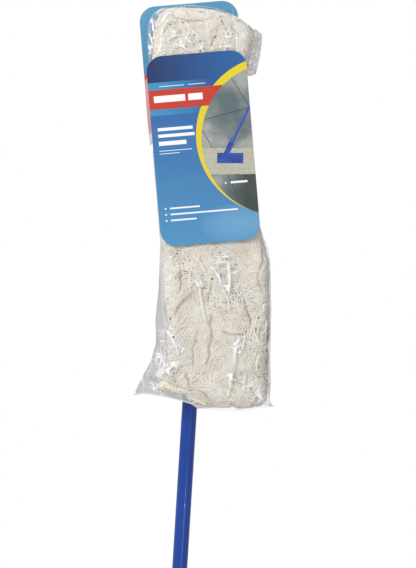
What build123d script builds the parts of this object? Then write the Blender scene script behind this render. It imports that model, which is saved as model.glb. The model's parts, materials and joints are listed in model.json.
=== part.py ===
from build123d import *
import os
from math import cos, radians, sin

# Flat dust mop in its shop bag and card sleeve, in millimetres, +Z up.
# The handle's axis is the Z axis, its hanging end is at z = 0, and the pad's yarn faces -Y.
# The head is drawn in its own frame: origin on the tilt pin, x across the pad, z along the pad,
# y from the yarn (negative) to the handle (0). Yarn, bag and sleeve share a frame moved PACK_X along its x.

# ---- Driving dimensions ----
HEAD_LEAN = 8.3            # degrees, pad's long axis to the handle's axis, as packed
PACK_X = 13.5              # the yarn is pushed this far to the right of the swivel in its bag
ROLL_PIN_Z = 858.0         # height of the roll pin above the handle's end
PIN_SPACING = 22.0         # roll pin to tilt pin
PIN_R = 3.0
RUNNING = 0.05             # radial clearance of every running fit

LOWER_TUBE_R = 12.5
UPPER_TUBE_R = 11.0
TUBE_WALL = 0.8
LOWER_TUBE_Z = (200.0, 838.0)
UPPER_TUBE_Z = (34.0, 720.0)

GRIP_R = 14.5
GRIP_Z = (34.0, 150.0)
GRIP_GROOVES = 9
GROOVE_DEPTH = 0.8
GROOVE_WIDTH = 2.4
HANG_TAB_WIDTH = 24.0
HANG_TAB_THICK = 10.0
HANG_HOLE_R = 4.5
HANG_HOLE_Z = 12.0

NUT_R = 16.5
NUT_Z = (164.0, 206.0)
NUT_FLUTES = 16
FLUTE_R = 1.4
COLLET_R = 14.2
COLLET_Z = (172.0, 200.0)
COLLET_PLUG_TOP = 232.0
COLLET_SLIT = 1.6
COLLET_SLITS = 3

SOCKET_Z = (782.0, 847.0)
SOCKET_R = (13.5, 15.0)    # at its lower and upper ends
FORK_GAP_Y = 9.3
FORK_OUT_Y = 13.5
FORK_HALF_X = 8.5
SOCKET_SCREW_Z = 808.0

PLATE_HALF_X = 40.0
PLATE_HALF_Z = 62.5
PLATE_Y = (-34.6, -28.0)
CLAMP_Y = (-38.2, -34.6)
EAR_X = (9.2, 14.2)
EAR_R = 9.0
EAR_FOOT_HALF_Z = 15.0
SCREW_PLACES = ((-13.0, -48.0), (13.0, -48.0), (-13.0, 48.0), (13.0, 48.0))
SCREW_R = 1.8
SCREW_HEAD_R = 3.6

WIRE_R = 2.5
WIRE_Y = -34.6
WIRE_HALF_X = 43.0
WIRE_ROOT_X = 28.0
WIRE_END_Z = 290.0
CANVAS_HALF_X = 52.0
CANVAS_HALF_Z = 299.0
CANVAS_Y = (-39.9, -38.3)
POCKET_DEPTH = 62.0
POCKET_BACK_Y = -30.4
CLOTH = 1.2

YARN_FRONT_Y = -72.0
YARN_BACK_Y = -20.6
YARN_UPPER_X = (-74.0, 72.0)
YARN_LOWER_X = (-80.0, 87.0)
YARN_Z = (-326.0, 319.0)
YARN_STEP_Z = -60.0        # the sleeve squeezes the pad narrower above this
YARN_ROUND = 12.0

FILM = 0.4
BAG_FRONT_Y = -74.4        # outer face of the front film
BAG_BACK_Y = -19.2         # outer face of the back film
BAG_UPPER_X = (-76.4, 74.2)
BAG_LOWER_X = (-90.0, 93.0)
BAG_TOP_Z = 325.0
BAG_MOUTH_Z = -330.0
BAG_FLARE = ((-104.0, -215.0), (-143.0, -297.0))
SLOT_HALF_X = 30.0         # slit in the back film that the handle joint comes through
SLOT_TOP_Z = 35.0

CARD = 0.6
CARD_HALF_X = 80.0
CARD_CORNER_R = 26.0
FRONT_CARD_Z = (-61.0, 243.0)
FRONT_CARD_Y = -76.0       # outer face
REAR_CARD_X = (-86.0, 75.0)   # the sleeve sits askew, further left at the back
REAR_CARD_Z = (104.0, 333.0)
REAR_CARD_Y = -18.0        # outer face
GUSSET_Z = (110.0, 203.0)

HEAD_X = -PIN_SPACING * sin(radians(HEAD_LEAN))
HEAD_Z = ROLL_PIN_Z + PIN_SPACING * cos(radians(HEAD_LEAN))
HEAD_PLACE = Pos(HEAD_X, 0, HEAD_Z) * Rot(0, -HEAD_LEAN, 0)


# ---- Helpers ----
def block(x, y, z):
    """A box from its ranges along x, y and z."""
    centre = [(low + high) / 2 for low, high in (x, y, z)]
    size = [high - low for low, high in (x, y, z)]
    return Pos(*centre) * Box(*size)


def rod(radius, z):
    """A cylinder on the Z axis over the range z."""
    return Pos(0, 0, (z[0] + z[1]) / 2) * Cylinder(radius, z[1] - z[0])


def rod_x(radius, x, y=0.0, z=0.0):
    """A cylinder along X over the range x."""
    return Pos((x[0] + x[1]) / 2, y, z) * Rot(0, 90, 0) * Cylinder(radius, x[1] - x[0])


def rod_y(radius, y, x=0.0, z=0.0):
    """A cylinder along Y over the range y."""
    return Pos(x, (y[0] + y[1]) / 2, z) * Rot(90, 0, 0) * Cylinder(radius, y[1] - y[0])


def pipe(outer, inner, z):
    """A tube on the Z axis."""
    return rod(outer, z) - rod(inner, z)


def panel(points, y):
    """A flat panel with this outline in x and z, between two values of y."""
    outline = Plane.XZ.offset(-y[1]) * make_face(Polyline(*points, close=True))
    return extrude(outline, y[1] - y[0])


def rounded_panel(x, z, y, radius):
    """A rectangular panel with rounded corners."""
    slab = block(x, y, z)
    return fillet(slab.edges().filter_by(Axis.Y), radius)


def on_head(*solids):
    """The same solids, moved from the head's frame to the handle's."""
    return [HEAD_PLACE * solid for solid in solids]


def on_pack(*solids):
    """The same solids, moved from the pack's frame to the handle's."""
    return [HEAD_PLACE * Pos(PACK_X, 0, 0) * solid for solid in solids]


# ---- Telescopic handle: upper tube with grip and hanging cap ----
def make_upper_tube():
    return pipe(UPPER_TUBE_R, UPPER_TUBE_R - TUBE_WALL, UPPER_TUBE_Z)


def make_grip():
    grip = pipe(GRIP_R, UPPER_TUBE_R, GRIP_Z)
    pitch = (GRIP_Z[1] - GRIP_Z[0]) / (GRIP_GROOVES + 1)
    for i in range(GRIP_GROOVES):
        low = GRIP_Z[0] + (i + 1) * pitch - GROOVE_WIDTH / 2
        grip -= pipe(GRIP_R + 1, GRIP_R - GROOVE_DEPTH, (low, low + GROOVE_WIDTH))
    return grip


def make_end_cap():
    half = HANG_TAB_WIDTH / 2
    thick = (-HANG_TAB_THICK / 2, HANG_TAB_THICK / 2)
    collar_low, collar_high = 24.0, GRIP_Z[0]
    tab = rod_y(half, thick, z=half) + block((-half, half), thick, (half, collar_low))
    plug = rod(UPPER_TUBE_R - TUBE_WALL, (collar_high, collar_high + 30.0))
    cap = tab + rod(GRIP_R, (collar_low, collar_high)) + plug
    return cap - rod_y(HANG_HOLE_R, thick, z=HANG_HOLE_Z)


def make_guide_plug():
    bore = UPPER_TUBE_R - TUBE_WALL
    sliding = LOWER_TUBE_R - TUBE_WALL - RUNNING
    top = UPPER_TUBE_Z[1]
    return rod(bore, (top - 22.0, top)) + rod(sliding, (top, top + 9.0))


# ---- Lower tube with the twist lock and the joint socket ----
def make_lower_tube():
    tube = pipe(LOWER_TUBE_R, LOWER_TUBE_R - TUBE_WALL, LOWER_TUBE_Z)
    return tube - rod_y(SCREW_R, (0, LOWER_TUBE_R + 1), z=SOCKET_SCREW_Z)


def make_collet():
    bore = UPPER_TUBE_R + RUNNING
    plug = rod(LOWER_TUBE_R - TUBE_WALL, (LOWER_TUBE_Z[0], COLLET_PLUG_TOP))
    body = rod(COLLET_R, COLLET_Z) + plug
    body -= rod(bore, (COLLET_Z[0], COLLET_PLUG_TOP))
    finger_top = COLLET_Z[0] + 18.0
    for i in range(COLLET_SLITS):
        width = (-COLLET_SLIT / 2, COLLET_SLIT / 2)
        cut = block((-COLLET_R - 1, COLLET_R + 1), width, (COLLET_Z[0], finger_top))
        body -= Rot(0, 0, 180 * i / COLLET_SLITS) * cut
    return body


def make_lock_nut():
    nut = rod(NUT_R, NUT_Z)
    nut = chamfer(nut.edges(), 1.5)
    for i in range(NUT_FLUTES):
        flute = Pos(NUT_R + 0.4, 0, 0) * rod(FLUTE_R, (NUT_Z[0] + 5.0, NUT_Z[1] - 5.0))
        nut -= Rot(0, 0, 360 * i / NUT_FLUTES) * flute
    nut -= rod(UPPER_TUBE_R + 0.4, NUT_Z)
    nut -= rod(COLLET_R + RUNNING, (COLLET_Z[0] - 1.0, LOWER_TUBE_Z[0] + 0.4))
    return nut - rod(LOWER_TUBE_R + 0.4, (LOWER_TUBE_Z[0], NUT_Z[1]))


def make_socket_fork():
    height = SOCKET_Z[1] - SOCKET_Z[0]
    body = Pos(0, 0, SOCKET_Z[0] + height / 2) * Cone(SOCKET_R[0], SOCKET_R[1], height)
    body -= rod(LOWER_TUBE_R, (SOCKET_Z[0], LOWER_TUBE_Z[1]))
    for side in (-1, 1):
        span = sorted((side * FORK_GAP_Y, side * FORK_OUT_Y))
        arm = block((-FORK_HALF_X, FORK_HALF_X), span, (SOCKET_Z[1] - 2.0, ROLL_PIN_Z))
        arm += rod_y(FORK_HALF_X, span, z=ROLL_PIN_Z)
        body += arm - rod_y(PIN_R, span, z=ROLL_PIN_Z)
    return body - rod_y(SCREW_R, (LOWER_TUBE_R - 2, SOCKET_R[1] + 1), z=SOCKET_SCREW_Z)


def make_socket_screw():
    seat = SOCKET_R[1] - 0.8
    shank = rod_y(SCREW_R, (LOWER_TUBE_R - 3.0, seat), z=SOCKET_SCREW_Z)
    return shank + rod_y(SCREW_HEAD_R, (seat, seat + 1.6), z=SOCKET_SCREW_Z)


def make_roll_pin():
    head = 1.2
    pin = rod_y(PIN_R, (-FORK_OUT_Y, FORK_OUT_Y), z=ROLL_PIN_Z)
    for y in ((-FORK_OUT_Y - head, -FORK_OUT_Y), (FORK_OUT_Y, FORK_OUT_Y + head)):
        pin += rod_y(PIN_R + 1.5, y, z=ROLL_PIN_Z)
    return pin


# ---- Yoke between the two pins, in the head's frame ----
def make_yoke_block():
    half_x = EAR_X[0] - 0.3
    yoke = rod_x(EAR_R, (-half_x, half_x))
    yoke += block((-half_x, half_x), (-EAR_R, EAR_R), (-PIN_SPACING, 0))
    yoke += rod_y(half_x, (-EAR_R, EAR_R), z=-PIN_SPACING)
    yoke -= rod_x(PIN_R, (-half_x, half_x))
    return yoke - rod_y(PIN_R + RUNNING, (-EAR_R, EAR_R), z=-PIN_SPACING)


def make_tilt_pin():
    gap, head = 0.4, 1.5
    reach = EAR_X[1] + gap
    pin = rod_x(PIN_R, (-reach, reach))
    for x in ((-reach - head, -reach), (reach, reach + head)):
        pin += rod_x(PIN_R + 1.5, x)
    return pin


# ---- Frame: plate, clamp, screws and wires ----
def wire_grooves():
    groove_r = WIRE_R + RUNNING
    grooves = []
    for x in (-WIRE_ROOT_X, WIRE_ROOT_X):
        for low in (-PLATE_HALF_Z - 1, 17.0):
            grooves.append(Pos(x, WIRE_Y, 0) * rod(groove_r, (low, low + PLATE_HALF_Z - 16.0)))
    return grooves


def screw_holes(y):
    return [rod_y(SCREW_R, y, x=x, z=z) for x, z in SCREW_PLACES]


def make_frame_plate():
    plate = rounded_panel((-PLATE_HALF_X, PLATE_HALF_X), (-PLATE_HALF_Z, PLATE_HALF_Z), PLATE_Y, 10.0)
    plate = plate - wire_grooves() - screw_holes(PLATE_Y)
    for side in (-1, 1):
        x = sorted((side * EAR_X[0], side * EAR_X[1]))
        foot_y = PLATE_Y[1] - 1.0
        corners = [(foot_y, -EAR_FOOT_HALF_Z), (foot_y, EAR_FOOT_HALF_Z), (0, EAR_R), (0, -EAR_R)]
        flank = Plane.YZ.offset(x[0]) * make_face(Polyline(*corners, close=True))
        ear = extrude(flank, x[1] - x[0]) + rod_x(EAR_R, x)
        plate += ear - rod_x(PIN_R + RUNNING, x)
    return plate


def make_clamp_plate():
    plate = rounded_panel((-PLATE_HALF_X, PLATE_HALF_X), (-PLATE_HALF_Z, PLATE_HALF_Z), CLAMP_Y, 10.0)
    return plate - wire_grooves() - screw_holes(CLAMP_Y)


def make_plate_screws():
    seat = PLATE_Y[1]
    screws = []
    for x, z in SCREW_PLACES:
        head = rod_y(SCREW_HEAD_R, (seat, seat + 1.8), x=x, z=z)
        recess = rod_y(1.3, (seat + 0.8, seat + 1.8), x=x, z=z)
        screws.append(head - recess + rod_y(SCREW_R, (CLAMP_Y[0], seat), x=x, z=z))
    return screws


def make_wire(side):
    """One U-shaped wire: its ends are in the plate and its loop is in a pocket."""
    route = [(WIRE_ROOT_X, 20.0), (WIRE_ROOT_X, 76.0), (WIRE_HALF_X, 112.0), (WIRE_HALF_X, WIRE_END_Z)]
    route += [(-x, z) for x, z in reversed(route)]
    path = FilletPolyline(*[(x, WIRE_Y, side * z) for x, z in route], radius=[18.0, 18.0, 30.0, 30.0, 18.0, 18.0])
    return sweep(Plane(origin=path @ 0, z_dir=path % 0) * Circle(WIRE_R), path=path)


# ---- Pad: canvas, pockets and yarn ----
def make_canvas():
    return rounded_panel((-CANVAS_HALF_X, CANVAS_HALF_X), (-CANVAS_HALF_Z, CANVAS_HALF_Z), CANVAS_Y, 16.0)


def make_pocket(side):
    """A canvas pocket, open towards the plate."""
    end, mouth = CANVAS_HALF_Z, CANVAS_HALF_Z - POCKET_DEPTH
    outer_z = sorted((side * mouth, side * end))
    inner_z = sorted((side * mouth, side * (end - CLOTH)))
    outer = block((-CANVAS_HALF_X, CANVAS_HALF_X), (CANVAS_Y[1], POCKET_BACK_Y), outer_z)
    hollow_x = CANVAS_HALF_X - CLOTH
    return outer - block((-hollow_x, hollow_x), (CANVAS_Y[1], POCKET_BACK_Y - CLOTH), inner_z)


def make_yarn_pile():
    pile = []
    for x, z in ((YARN_UPPER_X, (YARN_STEP_Z, YARN_Z[1])), (YARN_LOWER_X, (YARN_Z[0], YARN_STEP_Z))):
        slab = block(x, (YARN_FRONT_Y, CANVAS_Y[0] - 0.2), z)
        long_edges = slab.edges().filter_by(Axis.Z).group_by(Axis.Y)[0]
        pile.append(fillet(long_edges, YARN_ROUND))
    return pile


def make_yarn_skirt():
    """The yarn that stands up round the canvas, as a ring of six bars."""
    left = -CANVAS_HALF_X - 1.5 - PACK_X
    right = CANVAS_HALF_X + 1.5 - PACK_X
    end = CANVAS_HALF_Z + 1.0
    y = (CANVAS_Y[0] - 0.2, YARN_BACK_Y)
    bars = [
        ((YARN_UPPER_X[0], left), (YARN_STEP_Z, end)),
        ((right, YARN_UPPER_X[1]), (YARN_STEP_Z, end)),
        ((YARN_LOWER_X[0], left), (-end, YARN_STEP_Z)),
        ((right, YARN_LOWER_X[1]), (-end, YARN_STEP_Z)),
        (YARN_UPPER_X, (end, YARN_Z[1])),
        (YARN_LOWER_X, (YARN_Z[0], -end)),
    ]
    return [block(x, y, z) for x, z in bars]


# ---- Bag: film panels, open at the mouth and slit up the back ----
def make_bag_film():
    front = (BAG_FRONT_Y, BAG_FRONT_Y + FILM)
    back = (BAG_BACK_Y - FILM, BAG_BACK_Y)
    between = (front[1], back[0])
    step = YARN_STEP_Z + 1.0
    upper = (step, BAG_TOP_Z)
    near, far = BAG_UPPER_X
    slot_left, slot_right = -PACK_X - SLOT_HALF_X, -PACK_X + SLOT_HALF_X
    left, right = BAG_LOWER_X
    flare, corner = BAG_FLARE
    left_edge = [(left, step), flare, corner]
    film = [
        block(BAG_UPPER_X, front, upper),
        panel(left_edge + [(slot_left, BAG_MOUTH_Z), (right, BAG_MOUTH_Z), (right, step)], front),
        block(BAG_UPPER_X, back, (SLOT_TOP_Z, BAG_TOP_Z)),
        block((near, slot_left), back, (step, SLOT_TOP_Z)),
        block((slot_right, far), back, (step, SLOT_TOP_Z)),
        panel(left_edge + [(slot_left, BAG_MOUTH_Z), (slot_left, step)], back),
        block((slot_right, right), back, (BAG_MOUTH_Z, step)),
        block(BAG_UPPER_X, (front[0], back[1]), (BAG_TOP_Z, BAG_TOP_Z + FILM)),
        block((near, near + FILM), between, upper),
        block((far - FILM, far), between, upper),
        block((right - FILM, right), between, (BAG_MOUTH_Z, step)),
        block((left, near), between, (step - FILM, step)),
        block((far, right - FILM), between, (step - FILM, step)),
    ]
    inner = [(left + FILM, step - FILM), (flare[0] + FILM, flare[1]), (corner[0] + FILM, corner[1])]
    outer = [(left, step - FILM), flare, corner]
    for i in (0, 1):
        film.append(panel([outer[i], outer[i + 1], inner[i + 1], inner[i]], between))
    return film


def make_bag_tail():
    """The twisted end of the bag, a crumpled tuft beside the sleeve."""
    root = BAG_UPPER_X[1] + 0.2
    outline = [(root, 206.0), (93.0, 207.0), (98.0, 218.0), (111.0, 270.0), (90.0, 279.0), (root, 279.0)]
    return panel(outline, (-58.0, -34.0))


# ---- Card sleeve ----
def make_front_card():
    y = (FRONT_CARD_Y, FRONT_CARD_Y + CARD)
    return rounded_panel((-CARD_HALF_X, CARD_HALF_X), FRONT_CARD_Z, y, CARD_CORNER_R)


def make_rear_card():
    y = (REAR_CARD_Y - CARD, REAR_CARD_Y)
    return rounded_panel(REAR_CARD_X, REAR_CARD_Z, y, CARD_CORNER_R)


def make_gusset(side):
    """A strap from the front card's edge to the rear card's, on the left (-1) or right (1)."""
    front, back = FRONT_CARD_Y + CARD, REAR_CARD_Y - CARD
    near = side * CARD_HALF_X
    far = REAR_CARD_X[0] if side < 0 else REAR_CARD_X[1]
    inwards = -side * CARD
    corners = [(near, front), (far, back), (far + inwards, back), (near + inwards, front)]
    strap = Plane.XY.offset(GUSSET_Z[0]) * make_face(Polyline(*corners, close=True))
    return extrude(strap, GUSSET_Z[1] - GUSSET_Z[0])


# ---- Every piece, by node name ----
nodes = {
    "upper_tube": [make_upper_tube()],
    "grip": [make_grip()],
    "end_cap": [make_end_cap()],
    "guide_plug": [make_guide_plug()],
    "lower_tube": [make_lower_tube()],
    "collet": [make_collet()],
    "socket_fork": [make_socket_fork()],
    "socket_screw": [make_socket_screw()],
    "roll_pin": [make_roll_pin()],
    "lock_nut": [make_lock_nut()],
    "yoke_block": on_head(make_yoke_block()),
    "tilt_pin": on_head(make_tilt_pin()),
    "frame_plate": on_head(make_frame_plate()),
    "clamp_plate": on_head(make_clamp_plate()),
    "plate_screws": on_head(*make_plate_screws()),
    "wire_upper": on_head(make_wire(1)),
    "wire_lower": on_head(make_wire(-1)),
    "canvas_backing": on_head(make_canvas()),
    "pocket_upper": on_head(make_pocket(1)),
    "pocket_lower": on_head(make_pocket(-1)),
    "yarn_pile": on_pack(*make_yarn_pile()),
    "yarn_skirt": on_pack(*make_yarn_skirt()),
    "bag_film": on_pack(*make_bag_film()),
    "bag_tail": on_pack(make_bag_tail()),
    "front_card": on_pack(make_front_card()),
    "rear_card": on_pack(make_rear_card()),
    "left_gusset": on_pack(make_gusset(-1)),
    "right_gusset": on_pack(make_gusset(1)),
}

os.makedirs("parts", exist_ok=True)
for name, solids in nodes.items():
    shape = solids[0] if len(solids) == 1 else Compound(children=solids)
    export_step(shape, f"parts/{name}.step")
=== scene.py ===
from functools import lru_cache
import json
import math

import bmesh
import bpy
import numpy as np
from mathutils import Matrix, Vector


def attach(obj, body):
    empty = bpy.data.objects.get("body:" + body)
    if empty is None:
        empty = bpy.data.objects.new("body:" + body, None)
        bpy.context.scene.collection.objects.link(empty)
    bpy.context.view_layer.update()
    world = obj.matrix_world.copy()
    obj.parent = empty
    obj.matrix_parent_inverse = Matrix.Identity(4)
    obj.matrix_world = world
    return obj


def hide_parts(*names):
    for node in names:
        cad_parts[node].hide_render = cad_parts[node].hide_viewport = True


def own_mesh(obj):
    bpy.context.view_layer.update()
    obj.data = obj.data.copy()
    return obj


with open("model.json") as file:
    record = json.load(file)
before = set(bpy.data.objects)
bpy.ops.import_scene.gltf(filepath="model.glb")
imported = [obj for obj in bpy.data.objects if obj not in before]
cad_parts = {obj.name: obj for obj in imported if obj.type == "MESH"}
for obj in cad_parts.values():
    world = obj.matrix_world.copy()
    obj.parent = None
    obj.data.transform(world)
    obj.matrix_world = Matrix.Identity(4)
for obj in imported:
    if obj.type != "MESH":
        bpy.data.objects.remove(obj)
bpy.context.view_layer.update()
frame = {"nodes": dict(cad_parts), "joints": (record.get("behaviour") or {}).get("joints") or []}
joints = {joint["name"]: joint for joint in frame["joints"]}

# The pack's own frame, in metres: x across the pad, z along it, y from the yarn (negative) to the
# handle (0). Its origin is PACK_X to the right of the tilt pin. Every size below is in it.
MM = 0.001
PACK_X = 13.5
ACROSS = -np.array(joints["head_tilt"]["axis"])
ALONG = np.array([-ACROSS[2], 0.0, ACROSS[0]])
ORIGIN = np.array(joints["head_tilt"]["pos_m"]) + PACK_X * MM * ACROSS

# ---- Sizes, in millimetres of the pack's frame ----
# yarn: its faces, how its edges are rounded, and its outlines as (z, x) pairs from the bottom up
YARN_FRONT = -69.0
YARN_BACK = -22.0
YARN_MIDDLE = -46.0
FRONT_ROUND = 17.0
BACK_ROUND = 13.0
END_ROUND = 20.0
PAD_DOWN = 327.0           # from the origin to the pad's bottom end
PAD_UP = 320.0
PAD_SKEW = 4.0             # how much lower the bottom end's right corner is than its middle
PUFF = 3.0                 # how much further forward the pad stands below the sleeve
PUFF_Z = -70.0
TURN_IN = 40.0             # how far the yarn turns in over the canvas at most
YARN_LEFT = (
    (-331, -30), (-322, -44), (-312, -54), (-298, -68), (-292, -90), (-286, -105), (-276, -101),
    (-262, -90), (-241, -86), (-209, -85), (-178, -81), (-140, -82), (-80, -80), (-61, -78),
    (-30, -75.5), (0, -74), (90, -73), (200, -71), (262, -66), (298, -59), (312, -53), (319, -44),
)
YARN_RIGHT = (
    (-331, 54), (-322, 65), (-312, 69), (-284, 71), (-240, 76), (-205, 81), (-165, 84), (-100, 88.5),
    (-61, 83), (-30, 77), (0, 72.5), (284, 72), (297, 68), (309, 45), (316, 18), (319, -8),
)
# the yarn that is pushed out past the sleeve's right edge, towards the bag's gathered end
SHOULDER_RIGHT = (
    (190, 74), (200, 78), (225, 85), (245, 91), (270, 97), (282, 92), (297, 73), (309, 47), (316, 19),
)

# strands: each layer stands higher and is thinner than the one below it
CORE_SINK = 2.2            # the core's and the shoulder's plain surfaces are this far below the pad's
SHOULDER_SINK = 2.4
CORE_LIFT_MAX = 0.8
STRAND_SINK = 0.8
STRAND_LIFT_MAX = 2.4
STRAND_SIDES = 5
STRAND_LAYERS = 10
TUFTS_PER_LAYER = 175
TUFT_STEPS = 24
STRAND_SPREAD = 2.0        # between two strands of a tuft

# canvas and its two pockets
CANVAS_HALF_X = 52.0
CANVAS_HALF_Z = 299.0
CANVAS_CORNER = 16.0
CANVAS_MIDDLE = -39.3
CANVAS_THICK = 1.2
CANVAS_FACE = -40.4
CANVAS_ROOM = 2.5          # from the canvas's edge to where the yarn turns back over it
POCKET_HALF_X = 51.0
POCKET_START = 237.0       # from the origin to a pocket's open edge
POCKET_LENGTH = 61.0
POCKET_MIDDLE = -38.4
POCKET_HUMP = 7.4          # how far the wire under a pocket lifts it
POCKET_THICK = 1.0

# bag: its faces, its side edges as (z, x) pairs, its open bottom edge as (x, z) pairs, and the slit
# in its back that the swivel comes through
FILM_FRONT = -74.3
FILM_BACK = -19.9
FILM_MIDDLE = -46.0
FILM_Z = (-320.0, 323.5)
SIDE_ROUND = 17.0          # how far the film takes to fall from the pad's face to its side
TOP_ROUND = 18.0
FILM_LEFT = (
    (-320, -145), (-290, -129), (-255, -113), (-215, -102), (-176, -100), (-123, -90), (-72, -84),
    (-57, -82), (0, -82), (60, -82.5), (92, -82.5), (106, -76.6), (205, -76.2), (262, -76), (300, -72),
    (316, -63), (324, -50),
)
FILM_RIGHT = (
    (-320, 80), (-312, 73), (-284, 77), (-245, 80), (-211, 84), (-174, 88), (-101, 92.5), (-75, 90.5),
    (-57, 86), (-30, 79.5), (0, 74.6), (200, 74.2), (285, 74.2), (300, 70), (312, 50), (324, 5),
)
MOUTH = (
    (-150, -295), (-127, -294), (-90, -303), (-67, -311), (-40, -321), (-18, -328), (22, -334),
    (60, -331), (82, -331),
)
SLOT_HALF = 30.0
SLOT_TOP = 35.0

# the bag's gathered end at the upper right, with the yarn in it
END_Z = (203.0, 313.0)
END_ROOT = 66.0
END_RIGHT = (
    (204, 88), (206, 95), (218, 99), (238, 105), (262, 110), (271, 110), (276, 102), (283, 91),
    (299, 73), (311, 50),
)

# card sleeve
CARD_HALF = 80.0
FRONT_CARD_FACE = -76.0
REAR_CARD_FACE = -18.0
REAR_CARD_EDGES = (-86.0, 75.0)
CARD_THICK = 0.5
STRAP_Z = (106.0, 210.0)
STRAP_BOW = (2.6, 1.0)     # left and right


def to_row(points):
    """Pack-frame millimetres to row-frame metres."""
    p = np.asarray(points, float) * MM
    return ORIGIN + np.outer(p[:, 0], ACROSS) + np.outer(p[:, 1], (0, 1, 0)) + np.outer(p[:, 2], ALONG)


def curve_at(table, z):
    """A value read from an outline's points, in rising order of the first number."""
    table = np.asarray(table, float)
    return np.interp(z, table[:, 0], table[:, 1])


def smooth(t):
    t = np.clip(t, 0, 1)
    return t * t * (3 - 2 * t)


@lru_cache(maxsize=None)
def noise_lattice(seed):
    return np.random.default_rng(seed).uniform(-1, 1, (97, 97))


def noise2(x, y, scale, seed):
    """Smooth repeatable noise from -1 to 1 over a plane."""
    lattice = noise_lattice(seed)
    u, v = np.asarray(x, float) / scale, np.asarray(y, float) / scale
    i, j = np.floor(u).astype(int), np.floor(v).astype(int)
    fu, fv = smooth(u - i), smooth(v - j)
    i, j, i1, j1 = i % 97, j % 97, (i + 1) % 97, (j + 1) % 97
    low = lattice[i, j] * (1 - fu) + lattice[i1, j] * fu
    high = lattice[i, j1] * (1 - fu) + lattice[i1, j1] * fu
    return low * (1 - fv) + high * fv


def ridge(x, y, scale, seed):
    """Noise with sharp crests, from 0 to 1."""
    return 1 - np.abs(noise2(x, y, scale, seed))


# ---- Meshes ----
def mesh_piece(name, points, faces, materials, uv=None, smooth_faces=True):
    """A mesh object from row-frame points and faces."""
    mesh = bpy.data.meshes.new(name)
    mesh.from_pydata([tuple(p) for p in points], [], [tuple(int(i) for i in f) for f in faces])
    mesh.validate()
    if uv is not None:
        layer = mesh.uv_layers.new(name="UVMap")
        corners = np.zeros(len(mesh.loops), np.int32)
        mesh.loops.foreach_get("vertex_index", corners)
        layer.data.foreach_set("uv", np.asarray(uv, np.float32)[corners].ravel())
    mesh.polygons.foreach_set("use_smooth", [smooth_faces] * len(mesh.polygons))
    for material in materials:
        mesh.materials.append(material)
    obj = bpy.data.objects.new(name, mesh)
    bpy.context.scene.collection.objects.link(obj)
    return obj


def grid_faces(rows, columns, closed=False):
    """Quads of a grid of points kept row by row; closed joins each row's ends."""
    i = np.arange(rows - 1)[:, None] * columns
    j = np.arange(columns if closed else columns - 1)[None, :]
    k = (j + 1) % columns
    return np.stack([i + j, i + k, i + columns + k, i + columns + j], -1).reshape(-1, 4)


def paint(obj, name, values):
    """A float attribute on the vertices, for the material to read."""
    attribute = obj.data.attributes.new(name, "FLOAT", "POINT")
    attribute.data.foreach_set("value", np.asarray(values, np.float32))


def add_thickness(obj, thickness):
    """Gives a sheet its thickness in millimetres, half to each side."""
    solid = obj.modifiers.new("thickness", "SOLIDIFY")
    solid.thickness = thickness * MM
    solid.offset = 0.0
    solid.use_even_offset = False


def tubes(paths, radius, sides):
    """Round strands along many paths at once: points, faces and uv (round, along)."""
    count, steps, _ = paths.shape
    along = np.gradient(paths, axis=1)
    along /= np.linalg.norm(along, axis=2, keepdims=True) + 1e-9
    side = np.cross(along, (0.0, 1.0, 0.0))
    side /= np.linalg.norm(side, axis=2, keepdims=True) + 1e-9
    up = np.cross(side, along)
    taper = np.ones(steps)
    taper[0] = taper[-1] = 0.45
    r = (radius[:, None] * taper[None, :])[:, :, None, None]
    angle = np.arange(sides) * 2 * math.pi / sides
    ring = np.cos(angle)[:, None] * side[:, :, None, :] + np.sin(angle)[:, None] * up[:, :, None, :]
    points = paths[:, :, None, :] + r * ring
    faces = grid_faces(steps, sides, closed=True)
    all_faces = faces[None] + (np.arange(count) * steps * sides)[:, None, None]
    length = np.cumsum(np.linalg.norm(np.diff(paths, axis=1, prepend=paths[:, :1]), axis=2), axis=1)
    uv = np.stack([np.broadcast_to(np.arange(sides) / sides, (count, steps, sides)),
                   np.broadcast_to(length[:, :, None], (count, steps, sides))], -1)
    return points.reshape(-1, 3), all_faces.reshape(-1, 4), uv.reshape(-1, 2)


# ---- Node materials ----
CANVAS_THREAD = 1.4        # the weave's repeat


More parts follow.
